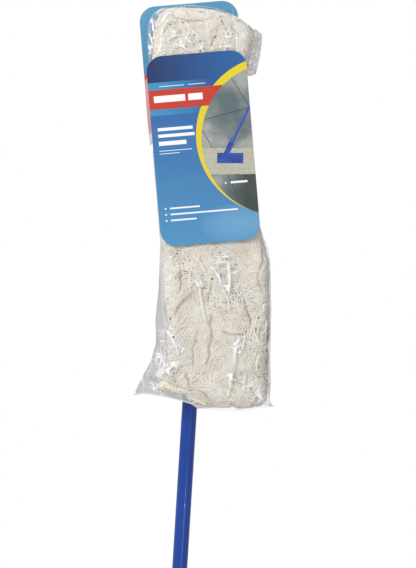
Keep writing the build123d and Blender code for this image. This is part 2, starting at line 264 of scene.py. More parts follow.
class Nodes:
    """Short names for building one material's nodes."""

    def __init__(self, name):
        self.material = bpy.data.materials.new(name)
        self.material.use_nodes = True
        self.tree = self.material.node_tree
        self.shader = self.tree.nodes["Principled BSDF"]
        self.output = self.tree.nodes["Material Output"]

    def add(self, kind, **values):
        node = self.tree.nodes.new("ShaderNode" + kind)
        for key, value in values.items():
            setattr(node, key, value)
        return node

    def link(self, source, target):
        self.tree.links.new(source, target)

    def put(self, socket, value):
        if hasattr(value, "is_output"):
            self.link(value, socket)
        else:
            socket.default_value = value

    def set(self, **values):
        for key, value in values.items():
            self.put(self.shader.inputs[key.replace("_", " ")], value)

    def math(self, operation, a, b=0.0, c=0.0, clamp=False):
        node = self.add("Math", operation=operation, use_clamp=clamp)
        for socket, value in zip(node.inputs, (a, b, c)):
            self.put(socket, value)
        return node.outputs[0]

    def mix(self, factor, a, b):
        node = self.add("Mix", data_type="RGBA")
        self.put(node.inputs[0], factor)
        for socket, value in ((node.inputs[6], a), (node.inputs[7], b)):
            self.put(socket, value if hasattr(value, "is_output") else (*value, 1.0))
        return node.outputs[2]

    def place(self):
        return self.add("TexCoord").outputs["Object"]

    def noise(self, scale, detail=3.0, stretch=None):
        node = self.add("TexNoise")
        node.inputs["Scale"].default_value = scale
        node.inputs["Detail"].default_value = detail
        source = self.place()
        if stretch:
            mapping = self.add("Mapping")
            mapping.inputs["Scale"].default_value = stretch
            self.link(source, mapping.inputs["Vector"])
            source = mapping.outputs[0]
        self.link(source, node.inputs["Vector"])
        return node.outputs[0]

    def ramp(self, value, stops):
        node = self.add("ValToRGB")
        while len(node.color_ramp.elements) < len(stops):
            node.color_ramp.elements.new(0.5)
        for element, (position, colour) in zip(node.color_ramp.elements, stops):
            element.position = position
            element.color = (*colour, 1.0)
        self.link(value, node.inputs[0])
        return node.outputs[0]

    def bump(self, height, strength, distance):
        node = self.add("Bump")
        node.inputs["Strength"].default_value = strength
        node.inputs["Distance"].default_value = distance
        self.link(height, node.inputs["Height"])
        self.link(node.outputs[0], self.shader.inputs["Normal"])

    def pack_place(self):
        """x and z in the pack's frame, in millimetres."""
        shift = self.add("VectorMath", operation="SUBTRACT")
        self.link(self.place(), shift.inputs[0])
        shift.inputs[1].default_value = tuple(ORIGIN)
        found = []
        for axis in (ACROSS, ALONG):
            dot = self.add("VectorMath", operation="DOT_PRODUCT")
            self.link(shift.outputs[0], dot.inputs[0])
            dot.inputs[1].default_value = tuple(axis / MM)
            found.append(dot.outputs["Value"])
        return found

    def normal_y(self):
        """How far the surface faces +Y, the handle's side, in the object's own frame."""
        parts = self.add("SeparateXYZ")
        self.link(self.add("TexCoord").outputs["Normal"], parts.inputs[0])
        return parts.outputs[1]


def yarn_material():
    m = Nodes("yarn")
    uv = m.add("TexCoord").outputs["UV"]
    parts = m.add("SeparateXYZ")
    m.link(uv, parts.inputs[0])
    turns = m.math("MULTIPLY_ADD", parts.outputs[1], 0.38, parts.outputs[0])
    ply = m.math("SINE", m.math("MULTIPLY", turns, 4 * math.pi))
    tone = m.noise(28.0, 3.0)
    fuzz = m.noise(1500.0, 4.0)
    base = m.ramp(tone, ((0.3, (0.81, 0.75, 0.63)), (0.52, (0.88, 0.835, 0.735)),
                         (0.75, (0.92, 0.89, 0.815))))
    # painted shadow: random tan spots for the small brownish shadows among the strands
    shadow_flecks = m.math("GREATER_THAN", m.noise(95.0, 1.0), 0.69)
    colour = m.mix(m.math("MULTIPLY", shadow_flecks, 0.3), base, (0.55, 0.42, 0.28))
    # painted shade: browner where the strands lie deep in furrows and between sunk tufts
    depth_and_shade = m.add("Attribute", attribute_name="depth_and_shade").outputs["Fac"]
    colour = m.mix(m.math("MULTIPLY", depth_and_shade, 0.6), colour, (0.5, 0.385, 0.25))
    shade = m.math("MULTIPLY_ADD", ply, 0.05, 0.95)
    dark = m.add("Mix", data_type="RGBA", blend_type="MULTIPLY")
    dark.inputs[0].default_value = 1.0
    m.link(colour, dark.inputs[6])
    grey = m.add("CombineColor")
    for socket in grey.inputs[:3]:
        m.link(shade, socket)
    m.link(grey.outputs[0], dark.inputs[7])
    m.set(Base_Color=dark.outputs[2], Roughness=0.92, Sheen_Weight=0.25, Sheen_Roughness=0.5,
          Specular_IOR_Level=0.2)
    m.bump(m.math("MULTIPLY_ADD", ply, 0.5, fuzz), 0.4, 0.0005)
    return m.material


def canvas_material():
    m = Nodes("canvas_weave")
    x, z = m.pack_place()
    turns = 2 * math.pi / CANVAS_THREAD
    warp = m.math("SINE", m.math("MULTIPLY", x, turns))
    weft = m.math("SINE", m.math("MULTIPLY", z, turns))
    weave = m.math("MULTIPLY", warp, weft)
    colour = m.ramp(m.noise(40.0, 4.0), ((0.3, (0.6, 0.56, 0.46)), (0.7, (0.76, 0.72, 0.62))))
    m.set(Base_Color=colour, Roughness=0.9, Sheen_Weight=0.2, Specular_IOR_Level=0.2)
    m.bump(weave, 0.5, 0.0004)
    return m.material


def film_material(name, veil, tint):
    """Clear film: mostly see-through, greyer where it is doubled, and whiter and more opaque where
    highlights are painted along its creases and glints.
    """
    m = Nodes(name)
    highlight_and_hem = m.add("Attribute", attribute_name="highlight_and_hem").outputs["Fac"]
    double = m.add("Attribute", attribute_name="double").outputs["Fac"]
    crumple = m.noise(170.0, 3.0)
    grey = m.mix(double, tint, tuple(0.74 * value for value in tint))
    # painted highlight: near white where creases, crinkles and glints are marked
    m.set(Base_Color=m.mix(highlight_and_hem, grey, (0.97, 0.97, 0.98)), Roughness=0.1,
          Specular_IOR_Level=0.7, IOR=1.5)
    m.bump(crumple, 0.25, 0.0012)
    clear = m.add("BsdfTransparent")
    clear.inputs[0].default_value = (0.965, 0.965, 0.975, 1.0)
    facing = m.add("LayerWeight")
    facing.inputs["Blend"].default_value = 0.32
    edge = m.math("MULTIPLY", m.math("POWER", facing.outputs["Facing"], 2.2), 0.55)
    share = m.math("ADD", m.math("MULTIPLY_ADD", double, 0.46, veil), edge)
    # the painted highlights also make the film more opaque
    share = m.math("MULTIPLY_ADD", highlight_and_hem, 0.9, share, clamp=True)
    blend = m.add("MixShader")
    m.link(share, blend.inputs[0])
    m.link(clear.outputs[0], blend.inputs[1])
    m.link(m.shader.outputs[0], blend.inputs[2])
    m.link(blend.outputs[0], m.output.inputs["Surface"])
    return m.material


def blue_tube_material():
    m = Nodes("blue_enamel")
    tone = m.noise(6.0, 2.0)
    colour = m.ramp(tone, ((0.3, (0.005, 0.04, 0.26)), (0.7, (0.009, 0.055, 0.32))))
    scuff = m.noise(90.0, 6.0, stretch=(1.0, 1.0, 0.06))
    rough = m.math("MULTIPLY_ADD", scuff, 0.12, 0.17)
    m.set(Base_Color=colour, Roughness=rough, Coat_Weight=0.4, Coat_Roughness=0.03, Specular_IOR_Level=0.25)
    m.bump(m.noise(420.0, 2.0), 0.06, 0.0003)
    return m.material


def plastic_material(name, low, high, rough, grain):
    m = Nodes(name)
    colour = m.ramp(m.noise(35.0, 3.0), ((0.3, low), (0.7, high)))
    m.set(Base_Color=colour, Roughness=m.math("MULTIPLY_ADD", m.noise(220.0, 3.0), 0.15, rough))
    m.bump(m.noise(grain, 3.0), 0.15, 0.0003)
    return m.material


def steel_material(name, low, high, rough):
    m = Nodes(name)
    brushed = m.noise(120.0, 5.0, stretch=(1.0, 1.0, 0.05))
    m.set(Base_Color=m.ramp(brushed, ((0.3, low), (0.7, high))), Metallic=1.0,
          Roughness=m.math("MULTIPLY_ADD", brushed, 0.2, rough))
    m.bump(brushed, 0.08, 0.0002)
    return m.material


# ---- The card's print ----
def print_box(m, x, z, low_x, high_x, low_z, high_z):
    """1 inside an upright box of the print and 0 outside."""
    inside = m.math("MULTIPLY", m.math("GREATER_THAN", x, low_x), m.math("LESS_THAN", x, high_x))
    inside_z = m.math("MULTIPLY", m.math("GREATER_THAN", z, low_z), m.math("LESS_THAN", z, high_z))
    return m.math("MULTIPLY", inside, inside_z)


def print_disc(m, x, z, centre_x, centre_z, radius):
    dx = m.math("SUBTRACT", x, centre_x)
    dz = m.math("SUBTRACT", z, centre_z)
    square = m.math("ADD", m.math("MULTIPLY", dx, dx), m.math("MULTIPLY", dz, dz))
    return m.math("LESS_THAN", square, radius * radius)


def print_line(m, x, z, start, end, half_width):
    """1 on a straight printed stroke between two points."""
    (x0, z0), (x1, z1) = start, end
    length = math.hypot(x1 - x0, z1 - z0)
    ux, uz = (x1 - x0) / length, (z1 - z0) / length
    along = m.math("MULTIPLY_ADD", m.math("SUBTRACT", x, x0), ux,
                   m.math("MULTIPLY", m.math("SUBTRACT", z, z0), uz))
    across = m.math("MULTIPLY_ADD", m.math("SUBTRACT", x, x0), -uz,
                    m.math("MULTIPLY", m.math("SUBTRACT", z, z0), ux))
    near = m.math("LESS_THAN", m.math("ABSOLUTE", across), half_width)
    inside = m.math("MULTIPLY", m.math("GREATER_THAN", along, 0.0), m.math("LESS_THAN", along, length))
    return m.math("MULTIPLY", near, inside)


PICTURE_DISC = (120.0, 96.5, 122.0)
YELLOW_DISC = (116.2, 102.9, 126.3)
BANNER_Z = (158.0, 189.0)
# generic white blocks where a real card has its words: (low x, high x, low z, high z)
BANNER_BLOCKS = ((-72, -22, 169, 179.5), (-17, 6, 169, 179.5))
TEXT_BARS = (
    (-70, -14, 123.4, 128.4), (-70, -12, 113, 118), (-70, -26, 100, 106.6), (-70, -18, 91, 92),
    (-70, -38, 86.5, 87.5), (-61, -13, -2.1, 0.4), (-61, 47, -11.7, -9.2), (-61, -20, -21.3, -18.8),
    (39, 66, 31, 34.4), (-62, -22, 193.8, 194.8), (-16, 12, 193.8, 194.8),
)
BULLETS = ((-68.0, -0.8), (-68.0, -10.4), (-68.0, -20.0), (31.0, 32.5))


# joints between the floor tiles of the card's picture: (start x, z), (end x, z)
TILE_JOINTS = (((54.4, 198.1), (78.2, 152.9)), ((7.1, 136.5), (77.9, 149.0)), ((0.6, 119.0), (14.8, 90.5)),
               ((34.0, 46.7), (48.7, 8.6)), ((56.0, 36.0), (80.0, 30.0)))
PAD_ROWS = (58.0, 66.0, 74.0, 83.0)


def picture_colour(m, x, z):
    """The print's picture: grey floor tiles, and a blue mop frame on a pale pad."""
    cloud = m.noise(22.0, 5.0)
    floor = m.ramp(cloud, ((0.36, (0.1, 0.135, 0.145)), (0.5, (0.175, 0.205, 0.205)),
                           (0.66, (0.33, 0.345, 0.32))))
    near = m.math("MULTIPLY_ADD", z, -1 / 12.0, 5.0, clamp=True)
    shade = m.math("MULTIPLY", near, m.math("MULTIPLY_ADD", x, 1 / 34.0, -0.85, clamp=True))
    floor = m.mix(m.math("MULTIPLY", shade, 0.9), floor, (0.03, 0.043, 0.032))
    for start, end in TILE_JOINTS:
        floor = m.mix(print_line(m, x, z, start, end, 0.55), floor, (0.045, 0.055, 0.055))
    fibre = m.noise(900.0, 4.0)
    pad = m.ramp(fibre, ((0.3, (0.34, 0.335, 0.26)), (0.7, (0.54, 0.53, 0.42))))
    wobble = m.math("MULTIPLY_ADD", m.noise(160.0, 2.0), 5.0, -2.5)
    pad_z = m.math("ADD", z, m.math("ADD", wobble, m.math("MULTIPLY", x, 0.084)))
    floor = m.mix(print_box(m, x, pad_z, -2, 90, 49, 91), floor, pad)
    for low in PAD_ROWS:
        row = m.math("MULTIPLY", print_box(m, x, pad_z, -2, 90, low, low + 0.8), 0.5)
        floor = m.mix(row, floor, (0.3, 0.31, 0.29))
    blue = m.ramp(m.noise(60.0, 2.0), ((0.3, (0.01, 0.04, 0.25)), (0.7, (0.02, 0.075, 0.38))))
    plate_z = m.math("MULTIPLY_ADD", x, 0.09, z)
    plate_x = m.math("MULTIPLY_ADD", z, -0.12, x)
    plate = print_box(m, plate_x, plate_z, 12, 54, 67, 83.5)
    socket = print_line(m, x, z, (35.5, 78.0), (46.0, 96.0), 4.4)
    neck = print_line(m, x, z, (42.0, 90.0), (50.0, 103.0), 3.2)
    pole = print_line(m, x, z, (46.0, 96.0), (78.4, 151.0), 2.3)
    for shape in (plate, socket, neck, pole):
        floor = m.mix(shape, floor, blue)
    shine = print_line(m, x, z, (45.6, 97.0), (77.0, 150.5), 0.6)
    return m.mix(m.math("MULTIPLY", shine, 0.45), floor, (0.2, 0.33, 0.75))


def front_card_material():
    m = Nodes("front_print")
    x, z = m.pack_place()
    sweep = m.math("MULTIPLY_ADD", x, 1 / 160.0, 0.5, clamp=True)
    dark = m.mix(sweep, (0.005, 0.02, 0.1), (0.013, 0.11, 0.34))
    fade = m.math("MULTIPLY_ADD", z, -1 / 210.0, 0.7, clamp=True)
    pale = m.mix(fade, (0.014, 0.088, 0.305), (0.06, 0.245, 0.46))
    streak = m.noise(14.0, 3.0, stretch=(0.4, 1.0, 1.6))
    pale = m.mix(m.math("MULTIPLY", streak, 0.3), pale, (0.09, 0.33, 0.58))
    # painted highlight: a soft lighter patch at the lower right, for the gloss of light on the card's face
    gloss_x = m.math("MULTIPLY_ADD", x, 1 / 70.0, -0.7)
    gloss_z = m.math("MULTIPLY_ADD", z, 1 / 34.0, 0.95)
    spread = m.math("ADD", m.math("MULTIPLY", gloss_x, gloss_x), m.math("MULTIPLY", gloss_z, gloss_z))
    painted_gloss = m.math("MULTIPLY_ADD", spread, -0.35, 0.35, clamp=True)
    pale = m.mix(painted_gloss, pale, (0.26, 0.5, 0.72))
    colour = m.mix(m.math("GREATER_THAN", z, BANNER_Z[1]), pale, dark)
    left = m.math("MULTIPLY_ADD", x, -1 / 110.0, 0.25, clamp=True)
    cyan = m.math("MULTIPLY", print_box(m, x, z, -90, 90, BANNER_Z[1], 201), left)
    colour = m.mix(m.math("MULTIPLY", cyan, 1.3, clamp=True), colour, (0.04, 0.24, 0.47))
    lower = m.math("MULTIPLY", print_box(m, x, z, -90, 90, 148, BANNER_Z[0]), left)
    colour = m.mix(lower, colour, (0.045, 0.25, 0.48))
    colour = m.mix(print_disc(m, x, z, *YELLOW_DISC), colour, (0.72, 0.56, 0.012))
    colour = m.mix(print_box(m, x, z, -90, 60, *BANNER_Z), colour, (0.49, 0.035, 0.014))
    colour = m.mix(print_disc(m, x, z, *PICTURE_DISC), colour, picture_colour(m, x, z))
    white = None
    for box in BANNER_BLOCKS + TEXT_BARS:
        inside = print_box(m, x, z, *box)
        white = inside if white is None else m.math("MAXIMUM", white, inside)
    for bullet_x, bullet_z in BULLETS:
        white = m.math("MAXIMUM", white, print_disc(m, x, z, bullet_x, bullet_z, 1.5))
    colour = m.mix(m.math("MULTIPLY", white, 0.9), colour, (0.9, 0.91, 0.93))
    m.set(Base_Color=colour, Roughness=m.math("MULTIPLY_ADD", m.noise(60.0, 3.0), 0.12, 0.3),
          Coat_Weight=0.25, Coat_Roughness=0.2)
    m.bump(m.noise(14.0, 2.0), 0.1, 0.002)
    return m.material


REAR_BARS_Z = (184, 176, 168, 154, 146, 138, 124, 116)


def rear_card_material():
    m = Nodes("rear_print")
    x, z = m.pack_place()
    down = m.math("MULTIPLY_ADD", z, -1 / 150.0, 2.15, clamp=True)
    colour = m.mix(down, (0.075, 0.28, 0.46), (0.05, 0.19, 0.38))
    streak = m.noise(16.0, 3.0, stretch=(1.6, 1.0, 0.5))
    colour = m.mix(m.math("MULTIPLY", streak, 0.3), colour, (0.13, 0.38, 0.57))
    colour = m.mix(print_box(m, x, z, -90, 90, 196, 222), colour, (0.6, 0.052, 0.022))
    white = print_box(m, x, z, -60, 60, 204, 214)
    for low in REAR_BARS_Z:
        white = m.math("MAXIMUM", white, print_box(m, x, z, -62, 30 + 3 * (low % 9), low, low + 3))
    facing_back = m.math("GREATER_THAN", m.normal_y(), 0.5)
    colour = m.mix(m.math("MULTIPLY", white, facing_back), colour, (0.88, 0.89, 0.9))
    m.set(Base_Color=colour, Roughness=m.math("MULTIPLY_ADD", m.noise(60.0, 3.0), 0.12, 0.3),
          Coat_Weight=0.25, Coat_Roughness=0.2)
    m.bump(m.noise(14.0, 2.0), 0.1, 0.002)
    return m.material


def gusset_material():
    m = Nodes("gusset_print")
    _, z = m.pack_place()
    red = m.math("GREATER_THAN", z, 122.0)
    tone = m.noise(30.0, 3.0)
    colour = m.mix(red, (0.6, 0.66, 0.74), (0.66, 0.2, 0.18))
    colour = m.mix(m.math("MULTIPLY", tone, 0.3), colour, (0.8, 0.75, 0.75))
    m.set(Base_Color=colour, Roughness=0.4)
    m.bump(m.noise(300.0, 3.0), 0.1, 0.0003)
    return m.material


# ---- Pad ----
def pad_point(u, v, lift, right_edge=YARN_RIGHT):
    """The pad's surface from unrolled places: u across and round the sides, v along and round the ends."""
    v = np.asarray(v, float)
    half_length = np.where(v < 0, PAD_DOWN + PAD_SKEW * np.clip(np.asarray(u) / 40.0, -1, 1), PAD_UP)
    flat = half_length - END_ROUND
    turn = np.clip((np.abs(v) - flat) / END_ROUND, 0, math.pi / 2)
    z = np.where(np.abs(v) > flat, np.sign(v) * (flat + (END_ROUND + lift) * np.sin(turn)), v)
    left, right = curve_at(YARN_LEFT, z), curve_at(right_edge, z)
    centre, half = (left + right) / 2, (right - left) / 2
    puff = PUFF * smooth((PUFF_Z - z) / 30.0)
    front = YARN_FRONT - puff
    run = half - FRONT_ROUND
    side = -front + YARN_BACK - FRONT_ROUND - BACK_ROUND
    s = np.abs(u)
    corner1 = math.pi / 2 * FRONT_ROUND
    corner2 = math.pi / 2 * BACK_ROUND
    a1 = np.clip((s - run) / FRONT_ROUND, 0, math.pi / 2)
    down = np.clip(s - run - corner1, 0, side)
    a2 = np.clip((s - run - corner1 - side) / BACK_ROUND, 0, math.pi / 2)
    inward = np.clip(s - run - corner1 - side - corner2, 0, TURN_IN)
    canvas_reach = CANVAS_HALF_X + CANVAS_ROOM - np.sign(u) * (PACK_X + centre)
    inward = np.minimum(inward, np.maximum(half - BACK_ROUND - canvas_reach, 0))
    x = (np.minimum(s, run) + (FRONT_ROUND + lift) * np.sin(a1) - (BACK_ROUND + lift) * (1 - np.cos(a2))
         - inward)
    y = front - lift + (FRONT_ROUND + lift) * (1 - np.cos(a1)) + down + (BACK_ROUND + lift) * np.sin(a2)
    y = YARN_MIDDLE + (y - YARN_MIDDLE) * np.cos(turn) ** 0.6
    return np.stack([centre + np.sign(u) * x, y, z], -1)


# furrows where tufts part, sunk into the yarn and darkened with painted shade: (start x, z), (end x, z),
# sideways bow, half width
FURROWS = (
    ((78, -70), (70, -112), 3.0, 2.2), ((70, -112), (72, -146), -3.0, 2.0),
    ((-11, -172), (-16, -256), 2.0, 2.2), ((-70, -175), (-44, -142), 3.0, 2.4),
    ((-34, -200), (-37, -260), -2.0, 1.8), ((6, -203), (46, -212), -3.0, 1.8),
    ((40, -150), (52, -206), 3.0, 1.8), ((-2, -110), (-14, -160), -2.0, 1.8),
    ((30, -262), (44, -316), 3.0, 2.0), ((-52, -262), (-30, -312), 4.0, 2.0),
    ((-56, -90), (-62, -140), 2.0, 1.8), ((58, 262), (44, 300), 4.0, 1.8),
    ((-30, 306), (22, 296), -5.0, 1.6), ((20, 250), (34, 284), -3.0, 1.6),
)


def along_line(x, z, start, end, bow):
    """Places along a bowed line, from 0 to 1, and their distance from it in millimetres."""
    (x0, z0), (x1, z1) = start, end
    length = math.hypot(x1 - x0, z1 - z0)
    ux, uz = (x1 - x0) / length, (z1 - z0) / length
    along = ((x - x0) * ux + (z - z0) * uz) / length
    across = -(x - x0) * uz + (z - z0) * ux
    return along, across - bow * np.sin(math.pi * np.clip(along, 0, 1))


def furrow(u, v):
    """1 in the middle of a furrow and 0 away from it."""
    depth_and_shade = np.zeros(np.broadcast(u, v).shape)
    jitter = 3.0 * noise2(u, v, 12.0, 13)
    for start, end, bow, half in FURROWS:
        along, across = along_line(u + jitter, v, start, end, bow)
        fade = smooth((along + 0.1) / 0.3) * smooth((1.1 - along) / 0.3)
        depth_and_shade = np.maximum(depth_and_shade, fade * np.exp(-((across / half) ** 2)))
    return depth_and_shade


def clumps(u, v):
    """How far the yarn's tufts swell and sink, in millimetres."""
    return 1.3 * noise2(u, v, 26.0, 11) + 0.9 * noise2(u + 40, v, 11.0, 12) - 2.2 * furrow(u, v)


def make_core(material):
    columns, rows = 88, 200
    reach = np.linspace(-150, 150, columns)
    v = np.linspace(-340, 330, rows)
    u, vv = np.meshgrid(reach, v)
    lift = np.minimum(clumps(u, vv), CORE_LIFT_MAX) - CORE_SINK
    shell = pad_point(u.ravel(), vv.ravel(), lift.ravel()).reshape(rows, columns, 3)
    inner = shell[:, [-1, 0], :].copy()
    inner[:, :, 1] = np.minimum(inner[:, :, 1], CANVAS_FACE)
    ring = np.concatenate([shell, inner], axis=1)
    points = ring.reshape(-1, 3)
    faces = grid_faces(rows, columns + 2, closed=True).tolist()
    faces.append(list(range(columns + 2))[::-1])
    faces.append([(rows - 1) * (columns + 2) + i for i in range(columns + 2)])
    core = mesh_piece("yarn_core", to_row(points), faces, [material], uv=np.zeros((len(points), 2)))
    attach(core, "head")
    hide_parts("yarn_pile", "yarn_skirt")


def tufts_over(rng, count, u_range, v_range, lift, radius, right_edge):
    """Tufts of a few curly strands that lie together on the pad: paths, radii and each point's painted
    shade, darker in furrows and where tufts sink.
    """
    steps = TUFT_STEPS
    across_all, along_all, ripples, radii = [], [], [], []
    for _ in range(count):
        u0, v0 = rng.uniform(*u_range), rng.uniform(*v_range)
        heading = 1.35 * noise2(u0, v0, 55.0, 21) * math.pi / 2 + rng.normal(0, 0.35) + math.pi / 2
        strands = rng.integers(3, 6)
        step = rng.uniform(2.0, 3.4)
        bend = np.cumsum(rng.normal(0, 0.19, steps))
        crimp_length = rng.uniform(6, 11)
        for k in range(strands):
            own = np.cumsum(rng.normal(0, 0.08, steps))
            s = np.arange(steps) * step
            crimp = 0.55 * np.sin(2 * math.pi * s / crimp_length + rng.uniform(0, 6.3))
            angle = heading + bend + own + crimp
            across = (k - strands / 2) * STRAND_SPREAD
            u = u0 - across * math.sin(heading) + np.cumsum(np.cos(angle) * step)
            v = v0 + across * math.cos(heading) + np.cumsum(np.sin(angle) * step)
            across_all.append(u)
            along_all.append(v)
            ripples.append(0.35 * np.sin(s / rng.uniform(6, 11) + rng.uniform(0, 6.3)))
            radii.append(radius * rng.uniform(0.85, 1.15))
    u, v = np.clip(across_all, *u_range), np.clip(along_all, v_range[0], v_range[1] + 4)
    swell = clumps(u, v)
    paths = pad_point(u, v, np.minimum(lift + swell - STRAND_SINK + ripples, STRAND_LIFT_MAX), right_edge)
    # painted shade: darker in furrows and where tufts sink
    painted_shade = np.clip(furrow(u, v) - 0.22 * swell - 0.1, 0, 1)
    return paths, np.array(radii), np.repeat(painted_shade.ravel(), STRAND_SIDES)


def make_strands(material):
    """Curly cotton strands over the whole pad, in layers from the core outwards."""
    rng = np.random.default_rng(5)
    for layer in range(STRAND_LAYERS):
        lift = -0.5 + 0.25 * layer
        radius = 1.65 - 0.055 * layer
        paths, radii, painted_shade = tufts_over(rng, TUFTS_PER_LAYER, (-132, 140), (-334, 322), lift, radius,
                                         YARN_RIGHT)
        points, faces, uv = tubes(paths, radii, STRAND_SIDES)
        strands = mesh_piece(f"yarn_layer_{layer + 1}", to_row(points), faces, [material], uv=uv)
        paint(strands, "depth_and_shade", painted_shade)
        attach(strands, "head")


def fold_at(piece):
    """Gives a piece beside the sleeve its own copy of its mesh data."""
    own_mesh(piece)


def make_shoulder(material):
    """The yarn beyond the sleeve's right edge, which runs out into the bag's gathered end."""
    rng = np.random.default_rng(8)
    columns, rows = 40, 60
    u, v = np.meshgrid(np.linspace(38, 122, columns), np.linspace(192, 318, rows))
    lift = np.minimum(clumps(u, v), CORE_LIFT_MAX) - SHOULDER_SINK
    shell = pad_point(u.ravel(), v.ravel(), lift.ravel(), SHOULDER_RIGHT)
    paths, radii, painted_shade = tufts_over(rng, 190, (40, 116), (194, 314), 1.0, 1.1, SHOULDER_RIGHT)
    points, faces, uv = tubes(paths, radii, STRAND_SIDES)
    points = np.concatenate([shell, points])
    faces = np.concatenate([grid_faces(rows, columns), faces + len(shell)])
    uv = np.concatenate([np.zeros((len(shell), 2)), uv])
    shoulder = mesh_piece("yarn_shoulder", to_row(points), faces, [material], uv=uv)
    paint(shoulder, "depth_and_shade", np.concatenate([np.zeros(len(shell)), painted_shade]))
    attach(shoulder, "head")
    fold_at(shoulder)


def make_canvas(material):
    """The canvas behind the yarn, as a sheet with rounded corners."""
    half_x, half_z, corner = CANVAS_HALF_X, CANVAS_HALF_Z, CANVAS_CORNER
    columns, rows = 33, 121
    s, t = np.meshgrid(np.linspace(-1, 1, columns), np.linspace(-1, 1, rows))
    z = t * half_z
    inset = np.maximum(np.abs(z) - (half_z - corner), 0)
    x = s * (half_x - corner + np.sqrt(np.maximum(corner ** 2 - inset ** 2, 0)))
    y = CANVAS_MIDDLE + 0.25 * noise2(x, z, 30.0, 31)
    points = np.stack([x - PACK_X, y, z], -1).reshape(-1, 3)
    canvas = mesh_piece("canvas_sheet", to_row(points), grid_faces(rows, columns), [material])
    add_thickness(canvas, CANVAS_THICK)
    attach(canvas, "head")
    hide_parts("canvas_backing")


def make_pocket(side, material):
    """A canvas strip over the wire's loop, sewn down at both sides and the end."""
    node = "pocket_upper" if side > 0 else "pocket_lower"
    columns, rows = 49, 25
    s, t = np.meshgrid(np.linspace(-1, 1, columns), np.linspace(0, 1, rows))
    hump = np.minimum(smooth((1 - np.abs(s)) / 0.14), smooth((1 - t) / 0.12))
    x = s * POCKET_HALF_X
    z = side * (POCKET_START + t * POCKET_LENGTH)
    y = POCKET_MIDDLE + POCKET_HUMP * hump + 0.3 * noise2(x, z, 9.0, 33) * hump
    points = np.stack([x - PACK_X, y, z], -1).reshape(-1, 3)
    pocket = mesh_piece(f"{node}_cloth", to_row(points), grid_faces(rows, columns), [material])
    add_thickness(pocket, POCKET_THICK)
    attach(pocket, "head")
    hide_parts(node)


# ---- Bag ----
# creases, which raise the film and carry painted highlights along their middle: (start x, z), (end x, z),
# sideways bow, half width, height
CREASES = (
    ((-4, -98), (12, -133), 3.0, 3.0, 1.5),
    ((11, -134), (20, -174), 3.0, 1.6, 1.6),
    ((-27, -81), (-12, -110), 2.0, 1.4, 1.0),
    ((4, -84), (34, -82), -2.0, 1.8, 1.3),
    ((24, -92), (20, -148), 2.0, 3.4, 1.5),
    ((-31, -118), (-24, -132), 1.0, 3.0, 1.2),
    ((-25, -128), (-19, -190), -1.0, 1.8, 1.6),
    ((33, -213), (20, -262), -3.0, 3.4, 1.6),
    ((42, -207), (26, -250), 2.0, 1.4, 1.2),
    ((17, -268), (2, -312), 1.0, 1.6, 1.6),
    ((30, -300), (38, -270), 1.0, 1.6, 1.1),
    ((44, -318), (62, -286), -2.0, 1.4, 1.2),
    ((62, -245), (56, -272), -3.0, 1.6, 1.2),
    ((-85, -192), (-66, -238), 3.0, 2.6, 1.5),
    ((-96, -211), (-76, -217), 2.0, 0.9, 0.8),
    ((-90, -259), (-62, -248), 3.0, 2.8, 1.4),
    ((-99, -250), (-92, -236), 1.0, 1.2, 0.8),
    ((-110, -287), (-90, -281), 2.0, 1.6, 0.9),
    ((80, -300), (60, -316), 1.0, 2.0, 1.3),
    ((-42, 268), (-18, 274), 3.0, 1.4, 0.7),
    ((-33, 262), (-8, 246), 2.0, 2.2, 0.7),
    ((-14, 272), (-2, 258), -1.0, 2.0, 0.7),
    ((-60, 246), (-52, 262), 1.0, 2.0, 0.7),
    ((36, 250), (66, 246), 2.0, 1.6, 0.7),
    ((60, 262), (76, 250), 3.0, 2.0, 0.7),
    ((-38, 300), (-52, 278), -2.0, 1.2, 0.7),
    ((-63, 300), (-70, 316), 2.0, 1.8, 0.7),
    ((-72, 285), (-67, 262), 1.0, 1.6, 0.7),
    ((-10, 296), (18, 262), -4.0, 1.2, 0.6),
)


def crease_fields(x, z):
    """Height that the listed creases give at each place, and the painted highlight along their middle."""
    height, white = np.zeros_like(x), np.zeros_like(x)
    for start, end, bow, half, rise in CREASES:
        along, across = along_line(x, z, start, end, bow)
        fade = smooth((along + 0.06) / 0.2) * smooth((1.06 - along) / 0.3)
        wobble = 0.85 + 0.3 * noise2(along * 60, across, 9.0, 41)
        height += rise * fade * np.exp(-((across / half) ** 2))
        # painted highlight: white along each crease's middle
        white = np.maximum(white, fade * wobble * np.exp(-((across / (0.8 * half)) ** 2)))
    return height, white


# patches of painted glints, as light catching fine crinkles in the film: x, z, radius
CRINKLE_GLINTS = (
    (-78, -197, 13), (-68, -223, 14), (-70, -246, 15), (-87, -257, 12), (-101, -283, 14),
    (-95, -240, 12), (16, -91, 15), (19, -133, 12), (27, -234, 14), (16, -275, 13), (57, -317, 12),
    (-26, -122, 10), (42, -292, 12), (30, -112, 10), (75, -170, 9), (69, 248, 14), (50, 248, 9),
    (12, 249, 7), (-7, 272, 10), (-22, 261, 12), (-31, 278, 8), (-54, 254, 9), (-50, 315, 10),
    (-70, 300, 11), (-63, 291, 10), (-69, 275, 10), (-73, 258, 8), (58, 268, 12), (66, 301, 8),
)


def crinkle_glint_field(x, z):
    """Painted glints on the fine crinkles: sharp crests of noise inside each patch."""
    patch = np.zeros_like(x)
    for centre_x, centre_z, radius in CRINKLE_GLINTS:
        square = ((x - centre_x) / radius) ** 2 + ((z - centre_z) / radius) ** 2
        patch = np.maximum(patch, np.exp(-square))
    crest_glint = np.maximum(ridge(x + 0.3 * z, z, 9.0, 58) ** 7, ridge(x, z - 0.4 * x, 5.5, 59) ** 9)
    return np.clip(1.5 * patch * crest_glint, 0, 1)


